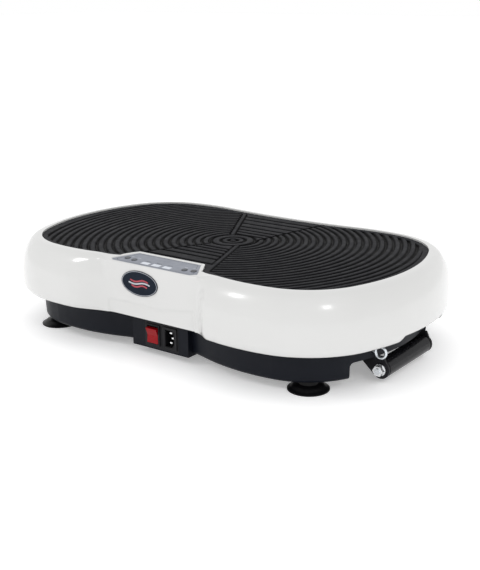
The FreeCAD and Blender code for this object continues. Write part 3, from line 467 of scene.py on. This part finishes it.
def mat_height(x, y, depth):
    """The mat's surface: ridges between grooves, two slanted ribs and a plain rim."""
    radius = np.hypot(x - RING_CENTRE[0], y - RING_CENTRE[1])
    upper = y > RING_CENTRE[1]
    back_wedge = upper & (beside(x, y, BACK_RIB) < 0) & (beside(x, y, BACK_JOIN) > 0)
    front_wedge = ~upper & (beside(x, y, FRONT_JOIN) > 0) & (beside(x, y, FRONT_RIB) < 0)
    left = np.where(upper, beside(x, y, BACK_RIB) >= 0, beside(x, y, FRONT_JOIN) <= 0)
    away = np.full(x.shape, 1e9)
    first = np.where(left, LEFT_FIRST, RIGHT_FIRST)
    pitch = np.where(left, LEFT_PITCH, RIGHT_PITCH)
    turns = np.abs((((radius - first) / pitch + 0.5) % 1) - 0.5) * pitch
    away = np.where(~back_wedge & ~front_wedge & (radius > RINGS[-1] + 3), turns, away)
    for ring in RINGS:
        away = np.minimum(away, np.abs(radius - ring))
    for wedge, grooves in ((back_wedge, BACK_GROOVES), (front_wedge, FRONT_GROOVES)):
        for groove in grooves:
            away = np.where(wedge & (radius > RINGS[-1]), np.minimum(away, np.abs(y - groove)),
                            away)
    outside_rings = radius > RINGS[-1]
    for line, side in ((BACK_JOIN, 1), (FRONT_JOIN, -1)):
        join = np.abs(beside(x, y, line)) + np.where((y > 0) == (side > 0), 0, 1e9)
        away = np.where(outside_rings, np.minimum(away, join + 0.5), away)
    ridge = smoothstep(GROOVE_HALF, GROOVE_HALF + GROOVE_WALL, away)
    ridge = ridge * (1 - 0.05 * np.clip(1 - (away - 1.5) / 4.2, 0, 1))
    for line, side in ((BACK_RIB, 1), (FRONT_RIB, -1)):
        distance = np.abs(beside(x, y, line)) + np.where((y > 0) == (side > 0), 0, 1e9)
        flat = 1 - smoothstep(RIB_HALF, RIB_HALF + 1.2, distance)
        moat = smoothstep(RIB_HALF + 1.6, RIB_HALF + 3.4, distance)
        shaped = np.maximum(flat, ridge * moat)
        ridge = np.where(outside_rings, shaped, ridge)
    rim = 1 - smoothstep(MAT_RIM, MAT_RIM + 1.6, depth)
    ridge = np.maximum(ridge, rim)
    edge = np.clip(1 - depth / 0.9, 0, 1)
    return MAT_TOP - GROOVE_DEPTH * (1 - ridge) - 0.7 * edge ** 2


def ribbed_mat():
    step = 0.75
    xs = np.arange(-HALF_LENGTH - step, HALF_LENGTH + 2 * step, step)
    ys = np.arange(-170.0, 171.0, step)
    x, y = (a.ravel() for a in np.meshgrid(xs, ys))
    depth = mat_depth(x, y)
    rows, columns = len(ys), len(xs)
    faces = grid_faces(rows, columns, False)
    faces = faces[(depth[faces] > 0).any(axis=1) & (depth[faces] > -2 * step).all(axis=1)]
    for _ in range(4):
        probe = 0.05
        slope_x = (mat_depth(x + probe, y) - mat_depth(x - probe, y)) / (2 * probe)
        slope_y = (mat_depth(x, y + probe) - mat_depth(x, y - probe)) / (2 * probe)
        move = np.where(depth < 0, -depth, 0)
        x, y = x + slope_x * move, y + slope_y * move
        depth = np.where(depth < 0, mat_depth(x, y), depth)
    used = np.unique(faces)
    number = np.full(len(x), -1)
    number[used] = np.arange(len(used))
    x, y, depth, faces = x[used], y[used], np.maximum(depth[used], 0), number[faces]
    top = np.stack([x, y, mat_height(x, y, depth)], -1)
    # the side wall hangs from the edges that only one face has
    pairs = np.concatenate([faces[:, [0, 1]], faces[:, [1, 2]], faces[:, [2, 3]], faces[:, [3, 0]]])
    key = np.sort(pairs, axis=1)
    _, index, count = np.unique(key, axis=0, return_index=True, return_counts=True)
    rim = pairs[index[count == 1]]
    below = np.unique(rim)
    number = np.full(len(top), -1)
    number[below] = len(top) + np.arange(len(below))
    foot = top[below] * (1, 1, 0) + (0, 0, MAT_LOW)
    wall = np.stack([rim[:, 1], rim[:, 0], number[rim[:, 0]], number[rim[:, 1]]], -1)
    piece = mesh_piece("ribbed_mat", np.concatenate([top, foot]), np.concatenate([faces, wall]),
                       "platform", [look["mat_rubber"]])
    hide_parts("anti_slip_mat")


ribbed_mat()


# ------------------------------------------------------------------ moulded shell
# The side is a chain of tangent arcs (radius, turn in degrees) down from the rim.
SIDE = ((18, 50), (58, 30), (130, 15), (16, 45))
ARC_STEPS, SIDE_ROWS, LIP_ROWS = 60, 76, 46
RIM_WIDTH, WALL, MAT_CLEARANCE = 4.0, 3.0, 0.3
FACE_HALF, FLARE_HALF = 78.0, 108.0
GENTLE_HALF, GENTLE_END = 56, 134
FACE_TOP, FACE_ROUND = 134.25, 2.0
PANEL_BACK, PANEL_TILT, PANEL_Z = -131.0, math.radians(4), 136.2
LIP_HEIGHT, POCKET_DEPTH = 1.2, 1.7
PANEL = [(55, -132.5), (-55, -132.5), (-75.5, -167), (-68, -173), (68, -173), (75.5, -167)]
RECESS_DEPTH, RECESS_LOW, RECESS_SOFT = 1.6, 78, 3.2
RECESS_BEND, RECESS_RUN, RECESS_SLOPE = 18, 60, 8 / 58
END_CUT_HALF, END_CUT_SLOPE, END_CUT_TOP, END_CUT_X = 46.0, 8.0, 67.5, 200
EAR_HALF = 71.5


def side_profile():
    """The shell's side from the rim's top down, as (offset, height), and the lengths along it."""
    offset, height, heading = RIM_WIDTH, RIM_TOP, 0.0
    line = [(offset, height)]
    for radius, turn in SIDE:
        centre = (offset - radius * math.sin(heading), height - radius * math.cos(heading))
        for step in range(1, ARC_STEPS + 1):
            angle = heading + math.radians(turn) * step / ARC_STEPS
            line.append((centre[0] + radius * math.sin(angle), centre[1] + radius * math.cos(angle)))
        offset, height = line[-1]
        heading += math.radians(turn)
    line = np.array(line)
    along = np.concatenate([[0], np.cumsum(np.hypot(*np.diff(line, axis=0).T))])
    return line, along


def panel_plane(y):
    """Height of the control panel's own plane."""
    return PANEL_Z + (y - PANEL_BACK) * math.tan(PANEL_TILT)


def face_share(x, front):
    """1 across the flat front face, fading to 0 where the rounded side takes over."""
    return np.where(front, 1 - smoothstep(FACE_HALF, FLARE_HALF, np.abs(x)), 0)


def profile_stop(points, profile, along):
    """How far down the profile each column goes: less far over the transport roller."""
    x, y = points.T
    foot = profile[-1, 1]
    cut = 1 - smoothstep(END_CUT_HALF, END_CUT_HALF + END_CUT_SLOPE, np.abs(y))
    low = foot + np.where(x > END_CUT_X, cut, 0) * (END_CUT_TOP - foot)
    return np.interp(low, profile[:, 1][::-1], along[::-1])


def face_recess(x, height):
    """Depth of the shallow recess along the foot of the front face, higher at the right."""
    ledge = RECESS_LOW + np.clip(x - RECESS_BEND, 0, RECESS_RUN) * RECESS_SLOPE
    depth = RECESS_DEPTH * (1 - smoothstep(ledge - RECESS_SOFT, ledge + RECESS_SOFT, height))
    return depth * (1 - smoothstep(FACE_HALF - 4, FACE_HALF, np.abs(x)))


def shell_side(points, normals):
    """Rows of points down the side, from the rim to the lower edge."""
    front = points[:, 1] < 0
    profile, along = side_profile()
    foot = profile[-1, 1]
    stop = profile_stop(points, profile, along)
    rows = []
    for share in np.linspace(0, 1, SIDE_ROWS) ** 1.15:
        offset = np.interp(stop * share, along, profile[:, 0])
        height = np.interp(stop * share, along, profile[:, 1])
        x, y = (points + normals * offset[:, None]).T
        flare = face_share(x, front)
        # on the left the face runs out into the side more gently, except at its very top
        gentle = 1 - smoothstep(GENTLE_HALF, GENTLE_END, np.abs(x))
        gentle = np.where(front & (x < 0), gentle, flare)
        flare = flare + (gentle - flare) * smoothstep(0.04, 0.5, share)
        height = height - flare * (height - foot) / (RIM_TOP - foot) * (RIM_TOP - FACE_TOP)
        near_top = np.clip(FACE_ROUND - (FACE_TOP - height), 0, FACE_ROUND)
        inset = FACE_ROUND - np.sqrt(np.maximum(FACE_ROUND ** 2 - near_top ** 2, 0))
        face_y = BLOCK_FRONT + inset + face_recess(x, height)
        rows.append(np.stack([x, np.where(front, y + flare * (face_y - y), y), height], -1))
    return rows


def mat_side(points, normals, x):
    """Where the shell's top starts, just outside the mat or behind the console block."""
    front = points[:, 1] < 0
    slope = (BLOCK_BACK - BLOCK_KNEE) / (BLOCK_HALF - BLOCK_BACK_HALF)
    slant = BLOCK_BACK - (np.abs(x) - BLOCK_BACK_HALF) * slope
    block_edge = np.where(np.abs(x) < BLOCK_BACK_HALF, BLOCK_BACK, slant)
    order = np.argsort(np.where(front, points[:, 0], np.inf))[:int(front.sum())]
    outline_y = np.interp(x, *points[order].T) - MAT_CLEARANCE
    ahead = np.where(np.abs(x) < EAR_HALF, np.maximum(block_edge, outline_y), outline_y)
    share = np.where(front, 1 - smoothstep(100, FLARE_HALF, np.abs(x)), 0)[:, None]
    beside_mat = points + normals * MAT_CLEARANCE
    return beside_mat * (1 - share) + np.stack([x, ahead], -1) * share


def shell_top(points, normals, edge):
    """Rows of points from the mat out to the side's first row, with the console's lip."""
    inner = mat_side(points, normals, edge[:, 0])
    flare = face_share(edge[:, 0], points[:, 1] < 0)
    rows = []
    for step in range(LIP_ROWS):
        x, y = (inner + (edge[:, :2] - inner) * (step / LIP_ROWS)).T
        console = np.minimum(panel_plane(y) + LIP_HEIGHT, RIM_TOP)
        pocket = 1 - smoothstep(-0.6, 0.6, outside_polygon(x, y, PANEL))
        console = console - POCKET_DEPTH * pocket
        rows.append(np.stack([x, y, RIM_TOP + flare * (console - RIM_TOP)], -1))
    return rows


def moulded_shell():
    """The whole shell as one loft of closed rows: mat wall, top, side and rolled lower edge."""
    points, normals = walk_outline(2.0, 0.8, 112)
    side = shell_side(points, normals)
    top = shell_top(points, normals, side[0])
    first, last = top[0], side[-1]
    mat_wall = [first * (1, 1, 0) + (0, 0, MAT_LOW), first + (0, 0, -0.5), first + (0, 0, -0.12)]
    inward = np.stack([-normals[:, 0], -normals[:, 1], np.zeros(len(points))], -1)
    under = [last + inward * 0.9 + (0, 0, -0.25), last + inward * (WALL - 0.7) + (0, 0, -0.1),
             last + inward * WALL + (0, 0, 0.8), last + inward * (WALL + 0.3) + (0, 0, 14)]
    rows = mat_wall + top + side + under
    faces = grid_faces(len(rows), len(points), True)[:, ::-1]
    piece = mesh_piece("moulded_shell", np.concatenate(rows), faces, "platform",
                       [look["shell_white"]])
    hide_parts("top_shell")


moulded_shell()


# ------------------------------------------------------------------ printed and raised marks
def stroke(name, path, across, radius, closed, material, body="platform", flat=0.5):
    """A rounded bead along a path in millimetres; across is the surface's outward normal."""
    path, across = np.array(path, float), np.array(across, float)
    if closed:
        ahead = np.roll(path, -1, 0) - np.roll(path, 1, 0)
    else:
        ahead = np.gradient(path, axis=0)
    ahead /= np.linalg.norm(ahead, axis=1)[:, None]
    side = np.cross(ahead, across)
    turns = np.linspace(0, 2 * math.pi, 10, endpoint=False)
    if closed:
        centres, sizes = path, np.full(len(path), radius)
    else:
        rounding = np.array([0.95, 0.7, 0.3])
        swell = np.sqrt(1 - rounding ** 2)
        before = path[0] - ahead[0] * (rounding * radius)[:, None]
        after = path[-1] + ahead[-1] * (rounding[::-1] * radius)[:, None]
        centres = np.concatenate([before, path, after])
        sizes = radius * np.concatenate([swell, np.ones(len(path)), swell[::-1]])
        side = np.concatenate([np.repeat(side[:1], 3, 0), side, np.repeat(side[-1:], 3, 0)])
    rings = [centre + size * (math.cos(turn) * sideways + flat * math.sin(turn) * across)
             for centre, size, sideways in zip(centres, sizes, side) for turn in turns]
    columns, rows = len(turns), len(centres)
    faces = [[int(v) for v in face] for face in grid_faces(rows, columns, True)]
    if closed:
        last = (rows - 1) * columns
        faces += [[last + i, last + (i + 1) % columns, (i + 1) % columns, i]
                  for i in range(columns)]
    else:
        faces += [list(range(columns))[::-1],
                  list(range((rows - 1) * columns, rows * columns))]
    return mesh_piece(name, rings, faces, body, [look[material]])


BADGE_X, BADGE_Y, BADGE_Z = -17.0, -177.2, 109.0
BADGE_LINE = (30.8, 16.3)
# Half length, height above the badge's middle and finish of each wave of the emblem.
WAVES = ((15, 3.6, "print_red"), (18, 0.0, "print_pale"), (13, -3.8, "print_red"))


def badge_marks():
    """A pale line round the badge and a plain emblem of waves inside it."""
    outward = (0, -1, 0)
    turns = np.linspace(0, 2 * math.pi, 96, endpoint=False)
    line = [(BADGE_X + BADGE_LINE[0] * math.cos(a), BADGE_Y, BADGE_Z + BADGE_LINE[1] * math.sin(a))
            for a in turns]
    stroke("badge_line", line, outward, 0.32, True, "print_pale")
    for number, (reach, rise, finish) in enumerate(WAVES, 1):
        path = [(BADGE_X + reach * v, BADGE_Y, BADGE_Z + rise + 1.5 * math.sin(v * math.pi))
                for v in np.linspace(-1, 1, 33)]
        stroke("badge_wave_%d" % number, path, outward, 1.15, False, finish)


BORDER = [(51, -3.6), (-51, -3.6), (-67.5, -33.5), (-63, -37.5), (63, -37.5), (67.5, -33.5)]
BUTTON_MARKS = ((-52.08, -17.5), (-39.06, -19), (43.71, -19), (56.73, -17.5))
WINDOW_MARKS = ((-18, -24), (1, -24), (20, -24))


def on_panel(x, y):
    """A point of the control panel's surface from its own plane's coordinates."""
    return (x, PANEL_BACK + y * math.cos(PANEL_TILT), PANEL_Z + y * math.sin(PANEL_TILT))


def panel_marks():
    """Thin printed lines: a border and a dash behind each button and each window."""
    outward = (0, -math.sin(PANEL_TILT), math.cos(PANEL_TILT))
    loop = []
    for (x0, y0), (x1, y1) in zip(BORDER, BORDER[1:] + BORDER[:1]):
        loop += [on_panel(x0 + (x1 - x0) * v, y0 + (y1 - y0) * v)
                 for v in np.linspace(0, 1, 9)[:-1]]
    stroke("panel_border", loop, outward, 0.3, True, "button_dark", flat=0.3)
    for kind, marks, reach, finish in (("button_mark", BUTTON_MARKS, 2.4, "print_pale"),
                                       ("window_mark", WINDOW_MARKS, 4, "button_dark")):
        for number, (x, y) in enumerate(marks, 1):
            path = [on_panel(x + reach * v, y) for v in (-1, 0, 1)]
            stroke("%s_%d" % (kind, number), path, outward, 0.5, False, finish,
                   flat=0.3)


badge_marks()
panel_marks()


# ------------------------------------------------------------------ stage
def plane(name, size, place, turn=(0, 0, 0)):
    mesh = bpy.data.meshes.new(name)
    half = size / 2
    mesh.from_pydata([(-half, -half, 0), (half, -half, 0), (half, half, 0), (-half, half, 0)],
                     [], [(0, 1, 2, 3)])
    made = bpy.data.objects.new(name, mesh)
    made.location, made.rotation_euler = place, turn
    bpy.context.scene.collection.objects.link(made)
    return made


def floor_paper():
    n = Nodes("floor_paper")
    n.set(Base_Color=n.ramp(n.noise(1.2, 3), (0.90, 0.90, 0.905), (0.92, 0.92, 0.925)),
          Roughness=n.ramp(n.noise(30, 4), 0.75, 0.9))
    n.bump((n.noise(400, 3), 0.08, 0.0002))
    n.set(Emission_Color=(1.0, 1.0, 1.0), Emission_Strength=0.3)
    return n.material


floor = plane("floor", 24, (0, 0, 0))
floor.data.materials.append(floor_paper())

world = bpy.data.worlds.new("studio")
world.use_nodes = True
world.node_tree.nodes["Background"].inputs["Color"].default_value = (1.0, 1.0, 1.0, 1)
world.node_tree.nodes["Background"].inputs["Strength"].default_value = 1.0
bpy.context.scene.world = world


def softbox(name, place, target, size, power):
    light = bpy.data.lights.new(name, "AREA")
    light.shape = "RECTANGLE"
    light.size, light.size_y = size
    light.energy = power
    made = bpy.data.objects.new(name, light)
    made.location = place
    made.rotation_euler = (Vector(target) - Vector(place)).to_track_quat("-Z", "Y").to_euler()
    bpy.context.scene.collection.objects.link(made)
    return made


softbox("key_left", (-1.9, -2.2, 2.3), (0, 0, 0.1), (0.5, 0.5), 10)
softbox("key_right", (2.4, -1.4, 2.2), (0, 0, 0.1), (0.5, 0.5), 8)

# ------------------------------------------------------------------ camera
CAMERA_PLACE = Vector((0.86196, -1.12966, 0.49685))
AZIMUTH, ELEVATION, ROLL = (math.radians(v) for v in (36.69, 16.87, -0.53))
FOCAL_LENGTH, SENSOR = 63.16, 36.0
camera_data = bpy.data.cameras.new("camera")
camera_data.sensor_fit = "AUTO"
camera_data.sensor_width = SENSOR
camera_data.lens = FOCAL_LENGTH
camera = bpy.data.objects.new("camera", camera_data)
backward = Vector((math.sin(AZIMUTH) * math.cos(ELEVATION),
                   -math.cos(AZIMUTH) * math.cos(ELEVATION), math.sin(ELEVATION)))
level = Vector((math.cos(AZIMUTH), math.sin(AZIMUTH), 0))
upward = backward.cross(level)
right = math.cos(ROLL) * level + math.sin(ROLL) * upward
up = math.cos(ROLL) * upward - math.sin(ROLL) * level
turn = Matrix((right, up, backward)).transposed()
camera.matrix_world = Matrix.Translation(CAMERA_PLACE) @ turn.to_4x4()
bpy.context.scene.collection.objects.link(camera)
bpy.context.scene.camera = camera
bpy.context.scene.view_settings.view_transform = "Standard"
